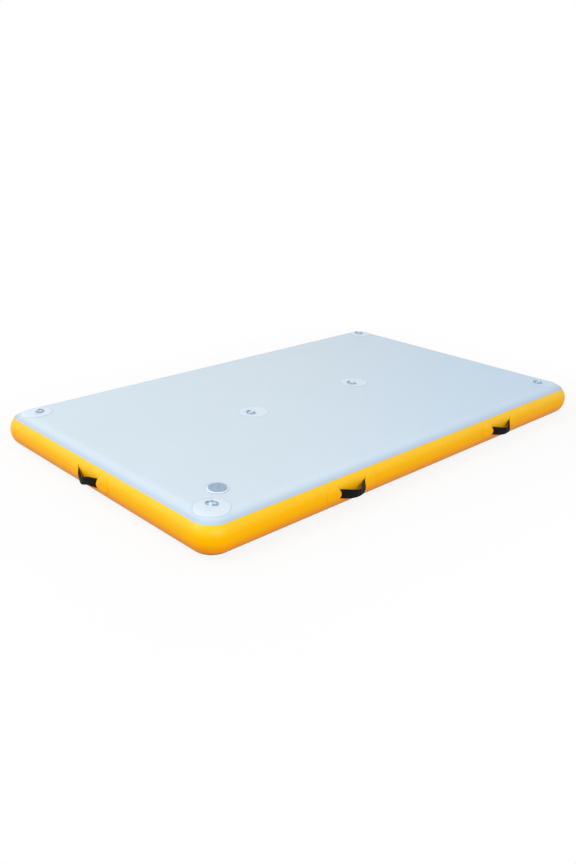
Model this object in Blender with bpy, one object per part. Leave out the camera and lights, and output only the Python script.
"""Inflatable dock platform: drop-stitched air chamber, grab handles, lashing rings and air valve.

Metres, +Z up. The origin lies on the ground under the middle of the deck, X runs along the
short side and Y along the long side. Right is +X and front is -Y.
"""
import math

import bmesh
import bpy
from mathutils import Matrix, Vector

for leftover in list(bpy.data.objects):
    bpy.data.objects.remove(leftover, do_unlink=True)

# Gap kept between pieces that are welded, glued or resting on each other
touch_gap = 0.0003
# How far a cutter runs past what it cuts, and a joined shape into its neighbour
overrun = 0.0005

# Platform outline, measured over the side band
platform_width = 1.524
platform_length = 2.438
flat_corner_radius = 0.017
edge_bulge = 0.088
edge_fullness_share = 2.14
corner_steps = 5
edge_step_degrees = 18
least_step_degrees = 0.1
profile_halvings = 40
smooth_degrees = 35

# Air chamber, from the stitched yarns outwards
yarn_length = 0.1524
cloth_thickness = 0.0009
skin_thickness = 0.0012
band_thickness = 0.0012
wall_thickness = 0.0010
tape_thickness = 0.0008
tape_width = 0.028
wall_joint_drop = 0.044
deck_seam_drop = 0.023
base_seam_rise = 0.005
seam_lap = 0.025
yarn_bundle_width = 0.008
yarn_rows = 5
yarn_columns = 9
yarn_edge_margin = 0.045

# Lashing rings and their welded pads
pad_radius = 0.071
pad_thickness = 0.0011
pad_sides = 24
pad_rounds = 5
pad_bevel = 0.0006
ring_wire_radius = 0.0025
ring_inner_width = 0.040
ring_inner_depth = 0.022
ring_corner_radius = 0.007
ring_corner_steps = 3
ring_bow_steps = 10
tunnel_clearance = 0.0003
tunnel_wall = 0.0013
tunnel_length = 0.012
tunnel_foot = 0.013
tunnel_arc_steps = 8
corner_ring_x_inset = 0.1205
corner_ring_y_inset = 0.1164
centre_ring_offset = 0.343

# Grab handles of flat webbing, ends welded under round covers
strap_width = 0.038
strap_thickness = 0.0022
strap_span = 0.148
strap_reach = 0.040
strap_sag = 0.003
strap_tail = 0.045
strap_nose_share = 0.35
strap_split_share = 0.65
strap_columns = 4
grip_steps = 10
cover_radius = 0.038
cover_thickness = 0.0012
cover_sides = 18
cover_round_shares = (0.36, 0.74, 1.0)
cover_clearance = 0.0006
cover_mouth_margin = 0.0066
handle_rise = 0.004
long_handle_spacing = 1.038
long_handle_shift = 0.028
short_handle_shift = -0.008

# Air valve, heights measured from the deck face
valve_edge_x_inset = 0.223
valve_edge_y_inset = 0.2255
gasket_thickness = 0.0010
gasket_inner_radius = 0.027
gasket_outer_radius = 0.0315
tether_thickness = 0.0009
tether_strip_width = 0.008
tether_ring_width = 0.0026
tether_washer_radius = 0.0375
tether_heading_degrees = 135
flange_radius = 0.0422
flange_thickness = 0.0022
flange_bevel = 0.0014
barrel_radius = 0.023
barrel_depth = 0.038
barrel_clearance = 0.0006
socket_radius = 0.0185
seat_radius = 0.0125
seat_thickness = 0.003
seat_depth = 0.0270
hub_radius = 0.0062
rib_width = 0.0026
rib_count = 3
nut_radius = 0.033
nut_height = 0.007
nut_notch_width = 0.006
nut_notch_depth = 0.003
nut_notch_count = 6
disc_radius = 0.0155
disc_thickness = 0.0022
stem_radius = 0.0021
stem_clearance = 0.0003
button_radius = 0.0070
button_height = 0.0028
button_depth = 0.0115
button_bar_width = 0.0022
button_bar_height = 0.0012
foot_radius = 0.0045
foot_height = 0.0016
stem_travel = 0.006
spring_wire_radius = 0.00055
spring_radius = 0.0044
spring_turns = 6
spring_turn_points = 10
spring_wire_sides = 5
cap_radius = 0.0350
cap_head_height = 0.0046
cap_neck_radius = 0.0300
cap_neck_height = 0.0018
cap_bevel = 0.0008
cap_plug_clearance = 0.0005
cap_plug_depth = 0.0045
cap_pocket_radius = 0.0265
cap_pocket_depth = 0.0020
cap_grip_heading_degrees = 135
cap_grip_width = 0.0085
cap_pocket_steps = 8
cap_notch_radius = 0.0022
cap_notch_count = 10
seal_ring_radius = 0.0222
seal_ring_wire_radius = 0.0010
turned_sides = 28
small_turned_sides = 16
wire_sides = 8

platform_height = yarn_length + touch_gap + 2 * (cloth_thickness + touch_gap + skin_thickness)
corner_radius = edge_bulge + flat_corner_radius
band_layer = touch_gap + band_thickness
middle_height = platform_height / 2
handle_height = middle_height + handle_rise
deck_seam_height = platform_height - deck_seam_drop


def linear(red, green, blue):
    """Colour as the shader wants it, from the eight-bit value seen on the object."""
    levels = []
    for channel in (red, green, blue):
        share = channel / 255
        levels.append(share / 12.92 if share < 0.04045 else ((share + 0.055) / 1.055) ** 2.4)
    return levels + [1.0]


def finish(name, colour, roughness, metallic=0.0):
    """Plain material of one sub-part."""
    material = bpy.data.materials.new(name)
    material.use_nodes = True
    shader = material.node_tree.nodes["Principled BSDF"]
    shader.inputs["Base Color"].default_value = linear(*colour)
    shader.inputs["Roughness"].default_value = roughness
    shader.inputs["Metallic"].default_value = metallic
    return material


deck_pvc = finish("deck_pvc", (212, 226, 238), 0.55)
band_pvc = finish("band_pvc", (254, 188, 12), 0.45)
pad_pvc = finish("pad_pvc", (224, 236, 245), 0.50)
base_pvc = finish("base_pvc", (188, 196, 204), 0.55)
core_cloth = finish("core_cloth", (232, 232, 226), 0.85)
webbing = finish("webbing", (22, 22, 26), 0.85)
steel = finish("stainless_steel", (196, 200, 204), 0.22, 1.0)
valve_plastic = finish("valve_plastic", (150, 175, 200), 0.40)
flange_plastic = finish("flange_plastic", (220, 232, 242), 0.40)
valve_rubber = finish("valve_rubber", (44, 46, 50), 0.70)


def new_object(name, mesh_builder, material):
    """Named object from a filled bmesh, faces turned outwards."""
    bmesh.ops.recalc_face_normals(mesh_builder, faces=mesh_builder.faces)
    mesh = bpy.data.meshes.new(name)
    mesh_builder.to_mesh(mesh)
    mesh_builder.free()
    mesh.shade_smooth()
    mesh.set_sharp_from_angle(angle=math.radians(smooth_degrees))
    mesh.materials.append(material)
    created = bpy.data.objects.new(name, mesh)
    bpy.context.collection.objects.link(created)
    return created


def combine(target, tool, operation):
    """Boolean of two solids, kept as a modifier; the tool object is only a guide."""
    tool.hide_render = True
    tool.display_type = "WIRE"
    change = target.modifiers.new(tool.name, "BOOLEAN")
    change.operation = operation
    change.solver = "EXACT"
    change.object = tool
    return target


def loft(name, loops, material, closed=False):
    """Skin over a row of equal loops, capped at both ends or joined end to end."""
    shape = bmesh.new()
    rows = [[shape.verts.new(point) for point in loop] for loop in loops]
    pairs = list(zip(rows, rows[1:]))
    if closed:
        pairs.append((rows[-1], rows[0]))
    for row, following in pairs:
        for index in range(len(row)):
            ahead = (index + 1) % len(row)
            shape.faces.new((row[index], row[ahead], following[ahead], following[index]))
    if not closed:
        shape.faces.new(rows[0])
        shape.faces.new(list(reversed(rows[-1])))
    return new_object(name, shape, material)


def turned(name, outline, material, centre, sides=turned_sides):
    """Solid of revolution about a vertical axis; a point at radius zero closes on the axis."""
    shape = bmesh.new()
    rows = []
    for radius, height in outline:
        if radius == 0:
            rows.append([shape.verts.new(Vector((centre[0], centre[1], height)))])
            continue
        angles = [2 * math.pi * side / sides for side in range(sides)]
        rows.append([shape.verts.new((centre[0] + radius * math.cos(angle),
                                      centre[1] + radius * math.sin(angle), height)) for angle in angles])
    solid = outline[0][0] == 0
    pairs = list(zip(rows, rows[1:]))
    if not solid:
        pairs.append((rows[-1], rows[0]))
    for row, following in pairs:
        for index in range(sides):
            ahead = (index + 1) % sides
            if len(row) == 1:
                shape.faces.new((row[0], following[ahead], following[index]))
            elif len(following) == 1:
                shape.faces.new((row[index], row[ahead], following[0]))
            else:
                shape.faces.new((row[index], row[ahead], following[ahead], following[index]))
    return new_object(name, shape, material)


def prism(name, outline, depth, place, material):
    """Outline in a local XY plane, pushed up by depth and set down by a matrix."""
    shape = bmesh.new()
    low = [shape.verts.new(place @ Vector((x, y, 0))) for x, y in outline]
    high = [shape.verts.new(place @ Vector((x, y, depth))) for x, y in outline]
    shape.faces.new(low)
    shape.faces.new(list(reversed(high)))
    for index in range(len(outline)):
        ahead = (index + 1) % len(outline)
        shape.faces.new((low[index], high[index], high[ahead], low[ahead]))
    return new_object(name, shape, material)


def edge_point(angle, depth):
    """Edge profile at an angle from level: offset from the widest line, and height.

    Depth is measured along the outward normal from the face of the deck and base skins.
    """
    across, upward = math.cos(angle), math.sin(angle)
    fullness = edge_fullness_share
    out_part = max(across, 0.0) ** (2 / fullness)
    up_part = math.copysign(abs(upward) ** (2 / fullness), upward)
    normal = Vector((out_part ** (fullness - 1) / edge_bulge,
                     math.copysign(abs(up_part) ** (fullness - 1), upward) / middle_height)).normalized()
    out = edge_bulge * (out_part - 1) - band_layer + normal.x * depth
    height = middle_height * (1 + up_part) + normal.y * depth
    return out, height


def edge_angle(height):
    """Angle of the edge profile whose skin face lies at a height."""
    share = min(1.0, max(-1.0, height / middle_height - 1))
    return math.asin(math.copysign(abs(share) ** (edge_fullness_share / 2), share))


def edge_out(height, depth):
    """Offset from the widest line of a layer at a height, by halving the angle's span."""
    low, high = -math.pi / 2, math.pi / 2
    for _ in range(profile_halvings):
        angle = (low + high) / 2
        if edge_point(angle, depth)[1] < height:
            low = angle
        else:
            high = angle
    return edge_point((low + high) / 2, depth)[0]


def plan_loop(out, height):
    """Rounded rectangle around the platform at an offset from its widest line."""
    centre_x = platform_width / 2 - corner_radius
    centre_y = platform_length / 2 - corner_radius
    radius = corner_radius + out
    points = []
    for quarter, (side_x, side_y) in enumerate(((1, 1), (-1, 1), (-1, -1), (1, -1))):
        for step in range(corner_steps + 1):
            angle = (quarter + step / corner_steps) * math.pi / 2
            points.append((side_x * centre_x + radius * math.cos(angle),
                           side_y * centre_y + radius * math.sin(angle), height))
    return points


def edge_stations():
    """Profile angles at all seams and in steps between, shared by the layers so that facets lie parallel."""
    half_tape = tape_width / 2
    from_base = (0, base_seam_rise, base_seam_rise + seam_lap, wall_joint_drop - half_tape, wall_joint_drop,
                 wall_joint_drop + half_tape)
    from_deck = (0, deck_seam_drop, deck_seam_drop + seam_lap, wall_joint_drop - half_tape, wall_joint_drop,
                 wall_joint_drop + half_tape)
    marks = [edge_angle(height) for height in from_base]
    marks += [edge_angle(platform_height - drop) for drop in from_deck]
    stations = [min(marks)]
    for mark in sorted(marks)[1:]:
        start = stations[-1]
        if mark - start < math.radians(least_step_degrees):
            continue
        step_count = math.ceil((mark - start) / math.radians(edge_step_degrees))
        stations += [start + (mark - start) * step / step_count for step in range(1, step_count + 1)]
    return stations


def edge_loops(low, high, depth):
    """Loops around the platform between two heights of the skin's face, upwards."""
    start, end = edge_angle(low), edge_angle(high)
    least = math.radians(least_step_degrees)
    angles = [start] + [angle for angle in edge_stations() if start + least < angle < end - least] + [end]
    return [plan_loop(*edge_point(angle, depth)) for angle in angles]


def edge_strip(name, low, high, outer, inner, material):
    """Band of sheet that runs round the platform's side."""
    loops = edge_loops(low, high, outer) + edge_loops(low, high, inner)[::-1]
    return loft(name, loops, material, closed=True)


def face_sheet(name, face, rim, outer, inner, material):
    """Flat sheet at a face's height whose rim wraps round the shoulder to another height."""
    flat_inset = (flat_corner_radius - band_layer) / 2
    layers = []
    for depth in (outer, inner):
        loops = edge_loops(min(face, rim), max(face, rim), depth)
        if face > rim:
            loops.reverse()
        out, height = edge_point(edge_angle(face), depth)
        layers.append([plan_loop(out - flat_inset, height)] + loops)
    return loft(name, layers[0] + layers[1][::-1], material)


def deck_height(x, y):
    """Height of the deck skin's face at a place."""
    reach_x = abs(x) - (platform_width / 2 - corner_radius)
    reach_y = abs(y) - (platform_length / 2 - corner_radius)
    if reach_x > 0 and reach_y > 0:
        radius = math.hypot(reach_x, reach_y)
    else:
        radius = max(reach_x, reach_y)
    share = (radius - corner_radius + band_layer + edge_bulge) / edge_bulge
    if share <= 0:
        return platform_height
    fall = 1 - min(share, 1.0) ** edge_fullness_share
    return middle_height * (1 + fall ** (1 / edge_fullness_share))


valve_x = platform_width / 2 - valve_edge_x_inset
valve_y = valve_edge_y_inset - platform_length / 2
valve_centre = (valve_x, valve_y)

cloth_depth = skin_thickness + touch_gap
wall_depth = cloth_depth + wall_thickness
tape_depth = wall_depth + touch_gap


def chamber():
    """Skins, side strips, base cloths with their yarns, and the seam tapes between them."""
    deck = face_sheet("deck_skin", platform_height, deck_seam_height - seam_lap,
                      0, -skin_thickness, deck_pvc)
    face_sheet("base_skin", 0, base_seam_rise + seam_lap, 0, -skin_thickness, base_pvc)
    edge_strip("side_band", base_seam_rise, deck_seam_height, band_layer, touch_gap, band_pvc)
    low_joint, high_joint = wall_joint_drop, platform_height - wall_joint_drop
    edge_strip("inner_wall", low_joint + touch_gap, high_joint - touch_gap,
               -cloth_depth, -wall_depth, core_cloth)
    cloth_inside = cloth_depth + cloth_thickness
    upper = face_sheet("upper_base_cloth", platform_height, high_joint + touch_gap,
                       -cloth_depth, -cloth_inside, core_cloth)
    lower = face_sheet("stitched_core", 0, low_joint - touch_gap,
                       -cloth_depth, -cloth_inside, core_cloth)
    half_tape = tape_width / 2
    tape_inside = tape_depth + tape_thickness
    edge_strip("upper_seam_tape", high_joint - half_tape, high_joint + half_tape,
               -tape_depth, -tape_inside, core_cloth)
    edge_strip("lower_seam_tape", low_joint - half_tape, low_joint + half_tape,
               -tape_depth, -tape_inside, core_cloth)

    hole_radius = barrel_radius + barrel_clearance
    above_deck = platform_height + overrun
    hole_outline = [(0, above_deck), (hole_radius, above_deck), (hole_radius, middle_height), (0, middle_height)]
    hole = turned("valve_hole_guide", hole_outline, deck_pvc, valve_centre)
    combine(deck, hole, "DIFFERENCE")
    combine(upper, hole, "DIFFERENCE")

    bundle_foot = cloth_inside - cloth_thickness / 2
    bundle_top = platform_height - cloth_inside - touch_gap
    reach_x = platform_width / 2 - edge_bulge - yarn_edge_margin
    reach_y = platform_length / 2 - edge_bulge - yarn_edge_margin
    keep_clear = nut_radius + 2 * yarn_bundle_width
    bundles = bmesh.new()
    for row in range(yarn_rows):
        for column in range(yarn_columns):
            x = reach_x * (2 * row / (yarn_rows - 1) - 1)
            y = reach_y * (2 * column / (yarn_columns - 1) - 1)
            if math.hypot(x - valve_x, y - valve_y) < keep_clear:
                continue
            size = Matrix.Diagonal((yarn_bundle_width, yarn_bundle_width, bundle_top - bundle_foot, 1))
            place = Matrix.Translation((x, y, (bundle_top + bundle_foot) / 2))
            bmesh.ops.create_cube(bundles, size=1, matrix=place @ size)
    combine(lower, new_object("yarn_guide", bundles, core_cloth), "UNION")


def ring_pad(name, x, y, leg_shift, heading):
    """Round welded pad that follows the deck, with the tunnel that holds the ring's straight leg."""
    ahead = Vector((math.cos(heading), math.sin(heading), 0))
    shoulder_crown = edge_bulge ** 2 / middle_height
    facet_sag = (pad_radius / pad_rounds) ** 2 / (4 * shoulder_crown)

    def place(radius, angle, lift):
        spot_x = x + radius * math.cos(angle)
        spot_y = y + radius * math.sin(angle)
        level = deck_height(spot_x, spot_y)
        return Vector((spot_x, spot_y, level + min(facet_sag, platform_height - level) + lift))

    angles = [2 * math.pi * side / pad_sides for side in range(pad_sides)]
    lowest = min(place(pad_radius, angle, 0).z for angle in angles)
    rounds = pad_rounds if lowest < platform_height else 1
    radii = [pad_radius * step / rounds for step in range(1, rounds + 1)]
    lower = [[place(radius, angle, touch_gap) for angle in angles] for radius in radii]
    upper = [[place(radius, angle, touch_gap + pad_thickness) for angle in angles] for radius in radii]
    upper[-1] = [place(pad_radius - pad_bevel, angle, touch_gap + pad_thickness) for angle in angles]
    shape = bmesh.new()
    rows = [[shape.verts.new(point) for point in loop] for loop in lower + upper[::-1]]
    pad_top = touch_gap + pad_thickness
    middles = [shape.verts.new(place(0, 0, touch_gap)), shape.verts.new(place(0, 0, pad_top))]
    for row, following in zip(rows, rows[1:]):
        for index in range(pad_sides):
            ahead_index = (index + 1) % pad_sides
            shape.faces.new((row[index], row[ahead_index], following[ahead_index], following[index]))
    for row, middle in ((rows[0], middles[0]), (rows[-1], middles[1])):
        for index in range(pad_sides):
            shape.faces.new((row[index], row[(index + 1) % pad_sides], middle))
    pad = new_object(name, shape, pad_pvc)

    bore = ring_wire_radius + tunnel_clearance
    hump = bore + tunnel_wall
    axis_rise = touch_gap + ring_wire_radius
    arc = [math.pi * step / tunnel_arc_steps for step in range(tunnel_arc_steps + 1)]
    outline = [(tunnel_foot, -overrun), (tunnel_foot, tunnel_wall / 2), (hump, tunnel_wall)]
    outline += [(hump * math.cos(angle), axis_rise + hump * math.sin(angle)) for angle in arc]
    outline += [(-hump, tunnel_wall), (-tunnel_foot, tunnel_wall / 2), (-tunnel_foot, -overrun)]
    outline += [(-bore, -overrun)]
    outline += [(-bore * math.cos(angle), axis_rise + bore * math.sin(angle)) for angle in arc]
    outline += [(bore, -overrun)]
    along_leg = Vector((-ahead.y, ahead.x, 0))
    foot = place(leg_shift.length, math.atan2(leg_shift.y, leg_shift.x), pad_top) - along_leg * (tunnel_length / 2)
    frame = Matrix((ahead, Vector((0, 0, 1)), -along_leg)).transposed().to_4x4()
    stand = Matrix.Translation(foot) @ frame
    tunnel = prism(name + "_tunnel_guide", outline, -tunnel_length, stand, pad_pvc)
    combine(pad, tunnel, "UNION")


def ring_path():
    """Middle line of the wire: straight leg on the local X axis, round bow towards +Y."""
    half_width = ring_inner_width / 2 + ring_wire_radius
    depth = ring_inner_depth + 2 * ring_wire_radius
    bend = ring_corner_radius
    corner = [math.pi / 2 * step / ring_corner_steps for step in range(ring_corner_steps + 1)]
    right = [(half_width - bend + bend * math.sin(angle), bend - bend * math.cos(angle)) for angle in corner]
    bow = [math.pi * step / ring_bow_steps for step in range(1, ring_bow_steps)]
    far = [(half_width * math.cos(angle), bend + (depth - bend) * math.sin(angle)) for angle in bow]
    left = [(-x, y) for x, y in reversed(right)]
    return [Vector((x, y, 0)) for x, y in right + far + left]


def lashing_ring(name, x, y, heading):
    """Bent steel ring that lies on its pad, its origin in the middle of the straight leg."""
    path = ring_path()
    loops = []
    for index, point in enumerate(path):
        before, after = path[index - 1], path[(index + 1) % len(path)]
        along = ((point - before).normalized() + (after - point).normalized()).normalized()
        outward = Vector((along.y, -along.x, 0))
        turn = [2 * math.pi * (side + 0.5) / wire_sides for side in range(wire_sides)]
        loops.append([point + outward * (ring_wire_radius * math.cos(angle))
                      + Vector((0, 0, ring_wire_radius * math.sin(angle))) for angle in turn])
    ring = loft(name, loops, steel, closed=True)
    rise = deck_height(x, y) + 2 * touch_gap + pad_thickness + ring_wire_radius
    ring.location = (x, y, rise)
    ring.rotation_euler = (0, 0, heading - math.pi / 2)


corner_x = platform_width / 2 - corner_ring_x_inset
corner_y = platform_length / 2 - corner_ring_y_inset
# Pad's centre, shift of the ring's leg in shares of the pad's radius, and heading of its bow in degrees
ring_places = {
    "front_right": (corner_x, -corner_y, (-0.18, 0.09), 121),
    "front_left": (-corner_x, -corner_y, (-0.035, 0.07), 43),
    "back_right": (corner_x, corner_y, (-0.18, -0.15), -100),
    "back_left": (-corner_x, corner_y, (-0.17, 0.085), -80),
    "centre_front": (0, -centre_ring_offset, (0.02, -0.135), -88),
    "centre_back": (0, centre_ring_offset, (0.045, -0.165), -83),
}


def strap_bow(station):
    """How far out the strap stands at a station along it, from 0 at its exits to 1 in the middle."""
    share = min(1.0, abs(station) / (strap_span / 2))
    leg = math.hypot(1, strap_nose_share)
    return (leg - math.hypot(share, strap_nose_share)) / (leg - strap_nose_share)


def strap_slope(station):
    """How steeply the strap leaves or nears the wall at a station."""
    step = strap_thickness / 4
    return strap_reach * (strap_bow(station + step) - strap_bow(station - step)) / (2 * step)


def strap_slab(name, stations, outward, along, side_middle, half_size, material):
    """Length of webbing between stations, curved to the wall where it lies on it."""
    rows_outer, rows_inner = [], []
    for station in stations:
        bow, slope = strap_bow(station), strap_slope(station)
        outer, inner = [], []
        for column in range(strap_columns + 1):
            across = strap_width * (column / strap_columns - 0.5)
            height = handle_height + across - strap_sag * bow
            rest = edge_out(height, band_layer)
            out = half_size + rest * (1 - bow) + touch_gap + strap_thickness / 2 + strap_reach * bow
            lean = math.hypot(1, slope)
            for row, side in ((outer, 0.5), (inner, -0.5)):
                shift_out = side * strap_thickness / lean
                shift_along = -side * strap_thickness * slope / lean
                row.append(outward * (out + shift_out) + along * (side_middle + station + shift_along)
                           + Vector((0, 0, height)))
        rows_outer.append(outer)
        rows_inner.append(inner)
    return loft(name, [outer + inner[::-1] for outer, inner in zip(rows_outer, rows_inner)], material)


def cover(name, side, outward, along, side_middle, half_size):
    """Round welded cover, raised over the strap's tail, its lip lifted where the strap comes out."""
    half_strap = strap_width / 2
    rim_over_strap = math.sqrt(cover_radius ** 2 - half_strap ** 2)
    centre = side * (strap_span / 2 + rim_over_strap)
    rounds = [cover_radius * share for share in cover_round_shares]
    shape = bmesh.new()

    def spot(radius, angle, lift):
        station = centre - side * radius * math.cos(angle)
        across = radius * math.sin(angle)
        height = handle_height + across
        at_rim = radius == rounds[-1]
        in_mouth = math.cos(angle) > 0 and abs(across) < half_strap + cover_mouth_margin
        raised = strap_thickness * math.hypot(1, strap_slope(station)) + cover_clearance
        hump = raised + strap_reach * strap_bow(station) if in_mouth or not at_rim else 0
        out = half_size + edge_out(height, band_layer) + touch_gap + hump + lift
        return outward * out + along * (side_middle + station) + Vector((0, 0, height))

    angles = [2 * math.pi * turn / cover_sides for turn in range(cover_sides)]
    rows = []
    for lift, order in ((0, rounds), (cover_thickness, rounds[::-1])):
        rows += [[shape.verts.new(spot(radius, angle, lift)) for angle in angles] for radius in order]
    middles = [shape.verts.new(spot(0, 0, 0)), shape.verts.new(spot(0, 0, cover_thickness))]
    for row, following in zip(rows, rows[1:]):
        for index in range(cover_sides):
            ahead = (index + 1) % cover_sides
            shape.faces.new((row[index], row[ahead], following[ahead], following[index]))
    for row, middle in ((rows[0], middles[0]), (rows[-1], middles[1])):
        for index in range(cover_sides):
            shape.faces.new((row[index], row[(index + 1) % cover_sides], middle))
    return new_object(name, shape, band_pvc)


def handle(place, outward, side_middle, half_size):
    """Grab handle: grip arch, two bending tails and the covers welded over them."""
    outward = Vector((outward[0], outward[1], 0))
    along = Vector((abs(outward.y), abs(outward.x), 0))
    split = strap_split_share * strap_span / 2
    end = strap_span / 2
    grip_end = split - touch_gap
    grip_stations = [grip_end * (2 * step / grip_steps - 1) for step in range(grip_steps + 1)]
    grip = strap_slab(place + "_handle_grip", grip_stations, outward, along, side_middle, half_size, webbing)
    anchor = outward * (half_size + touch_gap + strap_thickness / 2) + along * side_middle
    pivot = anchor + Vector((0, 0, handle_height))
    grip.data.transform(Matrix.Translation(-pivot))
    grip.location = pivot
    free = end - split
    for side, label in ((-1, "a"), (1, "b")):
        stations = [side * (end + strap_tail), side * (end + strap_tail / 2), side * end]
        stations += [side * (end - free * step / 3) for step in (1, 2, 3)]
        tail = place + "_handle_tail_" + label
        strap_slab(tail, stations, outward, along, side_middle, half_size, webbing)
        cover(place + "_handle_cover_" + label, side, outward, along, side_middle, half_size)


handle_places = {
    "right_front": ((1, 0), long_handle_shift - long_handle_spacing / 2, platform_width / 2),
    "right_back": ((1, 0), long_handle_shift + long_handle_spacing / 2, platform_width / 2),
    "left_front": ((-1, 0), long_handle_shift - long_handle_spacing / 2, platform_width / 2),
    "left_back": ((-1, 0), long_handle_shift + long_handle_spacing / 2, platform_width / 2),
    "front": ((0, -1), short_handle_shift, platform_length / 2),
    "back": ((0, 1), short_handle_shift, platform_length / 2),
}

# Valve levels, stacked up from the deck face and down into the barrel
gasket_low = platform_height + touch_gap
flange_low = gasket_low + gasket_thickness + touch_gap
flange_top = flange_low + flange_thickness
barrel_low = platform_height - barrel_depth
seat_low = platform_height - seat_depth - seat_thickness
seat_top = seat_low + seat_thickness
button_low = platform_height - button_depth
button_top = button_low + button_height
cap_low = flange_top + touch_gap
cap_head_low = cap_low + cap_neck_height
cap_top = cap_head_low + cap_head_height
nut_top = platform_height - cloth_depth - cloth_thickness - touch_gap


def ring_outline(inner, outer, low, high):
    """Section of a plain ring."""
    return [(inner, high), (outer, high), (outer, low), (inner, low)]


def valve_fixed():
    """Gasket, flanged body with its seat and stem guide, and the nut inside the chamber."""
    turned("valve_gasket", ring_outline(gasket_inner_radius, gasket_outer_radius, gasket_low,
                                        gasket_low + gasket_thickness), valve_rubber, valve_centre)
    body = turned("valve_body", [
        (socket_radius, flange_top), (flange_radius - flange_bevel, flange_top),
        (flange_radius, flange_top - flange_bevel), (flange_radius, flange_low), (barrel_radius, flange_low),
        (barrel_radius, barrel_low), (socket_radius, barrel_low), (socket_radius, seat_low),
        (seat_radius, seat_low), (seat_radius, seat_top), (socket_radius, seat_top),
    ], flange_plastic, valve_centre)
    hub_outline = ring_outline(stem_radius + stem_clearance, hub_radius, seat_low, seat_top)
    hub = turned("valve_hub_guide", hub_outline, flange_plastic, valve_centre, sides=small_turned_sides)
    rib_start = (hub_radius + stem_radius) / 2
    for rib in range(rib_count):
        spoke = Matrix.Rotation(2 * math.pi * rib / rib_count, 4, "Z")
        outline = [(rib_start, -rib_width / 2), (seat_radius + overrun, -rib_width / 2),
                   (seat_radius + overrun, rib_width / 2), (rib_start, rib_width / 2)]
        stand = Matrix.Translation((valve_x, valve_y, seat_low + overrun)) @ spoke
        bar = prism(f"valve_rib_guide_{rib}", outline, seat_thickness - 2 * overrun, stand, flange_plastic)
        combine(hub, bar, "UNION")
    combine(body, hub, "UNION")
    nut = turned("valve_back_nut", ring_outline(barrel_radius + touch_gap, nut_radius, nut_top - nut_height,
                                                nut_top), valve_plastic, valve_centre)
    for notch in range(nut_notch_count):
        turn = Matrix.Rotation(2 * math.pi * notch / nut_notch_count, 4, "Z")
        start, stop = nut_radius - nut_notch_depth, nut_radius + nut_notch_depth
        outline = [(start, -nut_notch_width / 2), (stop, -nut_notch_width / 2),
                   (stop, nut_notch_width / 2), (start, nut_notch_width / 2)]
        stand = Matrix.Translation((valve_x, valve_y, nut_top - nut_height - overrun)) @ turn
        cutter = prism(f"nut_notch_guide_{notch}", outline, nut_height + 2 * overrun, stand, valve_plastic)
        combine(nut, cutter, "DIFFERENCE")


def valve_closer():
    """Rubber disc under the seat, the stem that carries it, and the spring that shuts it."""
    disc_top = seat_low - touch_gap
    disc_low = disc_top - disc_thickness
    foot_top = disc_low - touch_gap
    foot_low = foot_top - foot_height
    disc = turned("valve_seal_disc", ring_outline(stem_radius + stem_clearance, disc_radius,
                                                  disc_low, disc_top), valve_rubber, valve_centre)
    stem = turned("valve_stem", [
        (0, button_top), (button_radius, button_top), (button_radius, button_low), (stem_radius, button_low),
        (stem_radius, foot_top), (foot_radius, foot_top), (foot_radius, foot_low),
        (0, foot_low)], valve_plastic, valve_centre, sides=small_turned_sides)
    bar_reach = button_radius - button_bar_width / 2
    outline = [(-bar_reach, -button_bar_width / 2), (bar_reach, -button_bar_width / 2),
               (bar_reach, button_bar_width / 2), (-bar_reach, button_bar_width / 2)]
    bar_low = button_top - button_bar_height / 2
    bar = prism("button_bar_guide", outline, 3 * button_bar_height / 2,
                Matrix.Translation((valve_x, valve_y, bar_low)), valve_plastic)
    for mover in (disc, stem, bar):
        mover.data.transform(Matrix.Translation((-valve_x, -valve_y, -seat_low)))
        mover.location = (valve_x, valve_y, seat_low)
    combine(stem, bar, "UNION")

    start = seat_top + touch_gap + spring_wire_radius
    finish_height = button_low - touch_gap - spring_wire_radius
    count = spring_turns * spring_turn_points
    path = []
    for step in range(count + 1):
        angle = 2 * math.pi * step / spring_turn_points
        height = start + (finish_height - start) * step / count
        path.append(Vector((valve_x + spring_radius * math.cos(angle),
                            valve_y + spring_radius * math.sin(angle), height)))
    gaps = [(path[low] - path[high]).length for low in range(len(path))
            for high in range(low + spring_turn_points // 2, len(path))]
    print("valve spring, least gap between its turns in mm:",
          round((min(gaps) - 2 * spring_wire_radius) * 1000, 3))
    loops = []
    for index, point in enumerate(path):
        before, after = path[max(index - 1, 0)], path[min(index + 1, count)]
        along = (after - before).normalized()
        outward = Vector((point.x - valve_x, point.y - valve_y, 0)).normalized()
        over = along.cross(outward).normalized()
        turn = [2 * math.pi * side / spring_wire_sides for side in range(spring_wire_sides)]
        loops.append([point + outward * (spring_wire_radius * math.cos(angle))
                      + over * (spring_wire_radius * math.sin(angle)) for angle in turn])
    loft("valve_spring", loops, steel)


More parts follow.
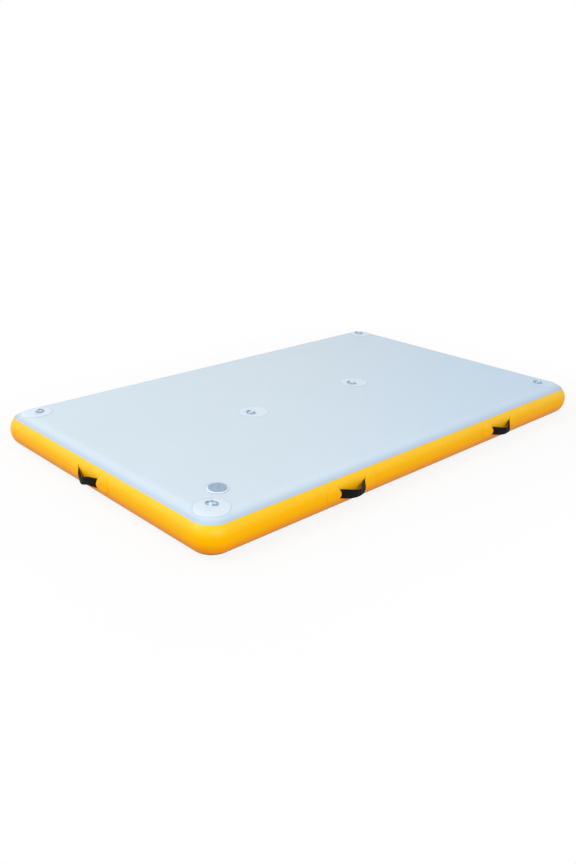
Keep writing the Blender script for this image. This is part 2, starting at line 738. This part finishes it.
def valve_lid():
    """Screw cap with its seal ring, and the tether that keeps it on the valve."""
    plug_radius = socket_radius - cap_plug_clearance
    groove_in = seal_ring_radius - seal_ring_wire_radius - touch_gap
    groove_out = seal_ring_radius + seal_ring_wire_radius + touch_gap
    groove_top = cap_low + 2 * seal_ring_wire_radius + touch_gap
    cap = turned("valve_cap", [
        (0, cap_top), (cap_radius - cap_bevel, cap_top), (cap_radius, cap_top - cap_bevel),
        (cap_radius, cap_head_low), (cap_neck_radius, cap_head_low), (cap_neck_radius, cap_low),
        (groove_out, cap_low), (groove_out, groove_top), (groove_in, groove_top), (groove_in, cap_low),
        (plug_radius, cap_low), (plug_radius, flange_top - cap_plug_depth), (0, flange_top - cap_plug_depth),
    ], valve_plastic, valve_centre)
    chord = cap_grip_width / 2
    start = math.asin(chord / cap_pocket_radius)
    for side in (1, -1):
        outline = []
        for step in range(cap_pocket_steps + 1):
            angle = start + (math.pi - 2 * start) * step / cap_pocket_steps
            outline.append((cap_pocket_radius * math.cos(angle), side * cap_pocket_radius * math.sin(angle)))
        origin = Matrix.Translation((valve_x, valve_y, cap_top - cap_pocket_depth))
        origin = origin @ Matrix.Rotation(math.radians(cap_grip_heading_degrees), 4, "Z")
        pocket = prism(f"cap_pocket_guide_{side + 1}", outline, cap_pocket_depth + overrun, origin,
                       valve_plastic)
        combine(cap, pocket, "DIFFERENCE")
    for notch in range(cap_notch_count):
        angle = 2 * math.pi * (notch + 0.5) / cap_notch_count
        centre = (valve_x + cap_radius * math.cos(angle), valve_y + cap_radius * math.sin(angle))
        high, low = cap_top + overrun, cap_head_low - overrun
        outline = [(0, high), (cap_notch_radius, high), (cap_notch_radius, low), (0, low)]
        cutter = turned(f"cap_notch_guide_{notch}", outline, valve_plastic, centre, sides=wire_sides)
        combine(cap, cutter, "DIFFERENCE")
    seal_level = cap_low + seal_ring_wire_radius
    seal_outline = []
    for side in range(wire_sides):
        angle = 2 * math.pi * side / wire_sides
        seal_outline.append((seal_ring_radius + seal_ring_wire_radius * math.cos(angle),
                             seal_level - seal_ring_wire_radius * math.sin(angle)))
    seal = turned("valve_cap_seal", seal_outline, valve_rubber, valve_centre)
    for mover in (cap, seal):
        mover.data.transform(Matrix.Translation((-valve_x, -valve_y, -flange_top)))
        mover.location = (valve_x, valve_y, flange_top)
    for guide in bpy.data.objects:
        if guide.name.startswith(("cap_pocket_guide", "cap_notch_guide")):
            guide.data.transform(Matrix.Translation((-valve_x, -valve_y, -flange_top)))
            guide.location = (valve_x, valve_y, flange_top)

    collar_low = cap_low + (cap_neck_height - tether_thickness) / 2
    collar_in = cap_neck_radius + touch_gap
    collar = turned("valve_tether", ring_outline(collar_in, collar_in + tether_ring_width, collar_low,
                                                 collar_low + tether_thickness), flange_plastic, valve_centre)
    washer_high = gasket_low + tether_thickness
    washer_outline = ring_outline(gasket_outer_radius + touch_gap, tether_washer_radius, gasket_low, washer_high)
    washer = turned("tether_washer_guide", washer_outline, flange_plastic, valve_centre)
    strip_in = flange_radius + touch_gap
    strip_out = strip_in + tether_thickness
    collar_high = collar_low + tether_thickness
    inset = overrun / 4
    root = tether_washer_radius - 3 * overrun
    outline = [
        (collar_in + tether_ring_width / 2, collar_low + inset), (strip_in, collar_low + inset),
        (strip_in, washer_high - inset), (root, washer_high - inset),
        (root, gasket_low + inset), (strip_out, gasket_low + inset),
        (strip_out, collar_high - inset), (collar_in + tether_ring_width / 2, collar_high - inset),
    ]
    heading = math.radians(tether_heading_degrees)
    ahead = Vector((math.cos(heading), math.sin(heading), 0))
    aside = Vector((ahead.y, -ahead.x, 0))
    frame = Matrix((ahead, Vector((0, 0, 1)), aside)).transposed().to_4x4()
    origin = Matrix.Translation(Vector((valve_x, valve_y, 0)) - aside * (tether_strip_width / 2))
    strip = prism("tether_strip_guide", outline, tether_strip_width, origin @ frame, flange_plastic)
    combine(collar, washer, "UNION")
    combine(collar, strip, "UNION")


chamber()
for place, (x, y, leg_shares, heading_degrees) in ring_places.items():
    leg_shift = Vector(leg_shares) * pad_radius
    ring_pad(place + "_ring_pad", x, y, leg_shift, math.radians(heading_degrees))
    lashing_ring(place + "_ring", x + leg_shift.x, y + leg_shift.y, math.radians(heading_degrees))
for place, (facing, middle, half_size) in handle_places.items():
    handle(place, facing, middle, half_size)
valve_fixed()
valve_closer()
valve_lid()
